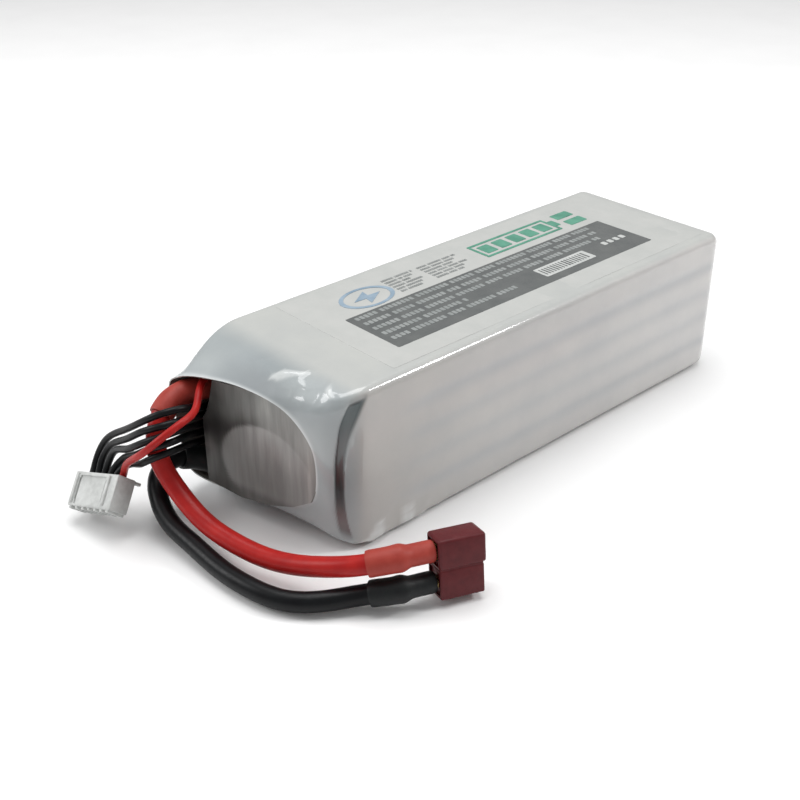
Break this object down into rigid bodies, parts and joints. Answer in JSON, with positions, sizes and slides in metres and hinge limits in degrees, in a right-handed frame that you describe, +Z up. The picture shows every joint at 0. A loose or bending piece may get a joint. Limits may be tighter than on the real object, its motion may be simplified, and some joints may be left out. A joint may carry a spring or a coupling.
{
  "type": "lipo battery pack",
  "caption": "Shrink-wrapped pouch-cell battery pack for radio-controlled models, with heavy red and black power leads to a plug and thin balance wires to a comb connector.",
  "frame": {"origin": "middle of the pack's underside, without its leads", "axes": "+Z up, +Y along the pack away from its leads, +X across the pack"},
  "size_m": [0.0949, 0.1877, 0.043],
  "materials": {
    "film": "glossy clear shrink film",
    "foil": "satin laminate foil",
    "foam": "matt",
    "card": "matt",
    "label": "satin print",
    "board": "satin",
    "cover": "semi-gloss",
    "aluminium": "bright",
    "copper": "bright",
    "gold": "plated",
    "tin": "plated",
    "maroon_nylon": "moulded",
    "ivory_nylon": "moulded",
    "red_silicone": "smooth",
    "black_silicone": "smooth",
    "red_shrink": "satin",
    "black_shrink": "satin"
  },
  "bodies": {
    "root": {"cell_1": "foil", "cell_2": "foil", "cell_3": "foil", "cell_4": "foil", "cell_5": "foil", "cell_pad_1": "foam", "cell_pad_2": "foam", "cell_pad_3": "foam", "cell_pad_4": "foam", "positive_tab_1": "aluminium", "positive_tab_2": "aluminium", "positive_tab_3": "aluminium", "positive_tab_4": "aluminium", "positive_tab_5": "aluminium", "negative_tab_1": "copper", "negative_tab_2": "copper", "negative_tab_3": "copper", "negative_tab_4": "copper", "negative_tab_5": "copper", "bottom_card": "card", "top_card": "card", "label_sheet": "label", "rear_pad": "foam", "tab_board": "board", "tab_cover": "cover", "shrink_wrap": "film", "red_lead": "red_silicone", "black_lead": "black_silicone", "red_pack_sleeve": "red_shrink", "red_plug_sleeve": "red_shrink", "black_pack_sleeve": "black_shrink", "black_plug_sleeve": "black_shrink", "plug_housing": "maroon_nylon", "plug_contact_positive": "gold", "plug_contact_negative": "gold", "balance_lead_1": "black_silicone", "balance_lead_2": "black_silicone", "balance_lead_3": "black_silicone", "balance_lead_4": "black_silicone", "balance_lead_5": "black_silicone", "balance_lead_6": "red_silicone", "balance_housing": "ivory_nylon", "balance_terminal_1": "tin", "balance_terminal_2": "tin", "balance_terminal_3": "tin", "balance_terminal_4": "tin", "balance_terminal_5": "tin", "balance_terminal_6": "tin"}
  },
  "joints": []
}
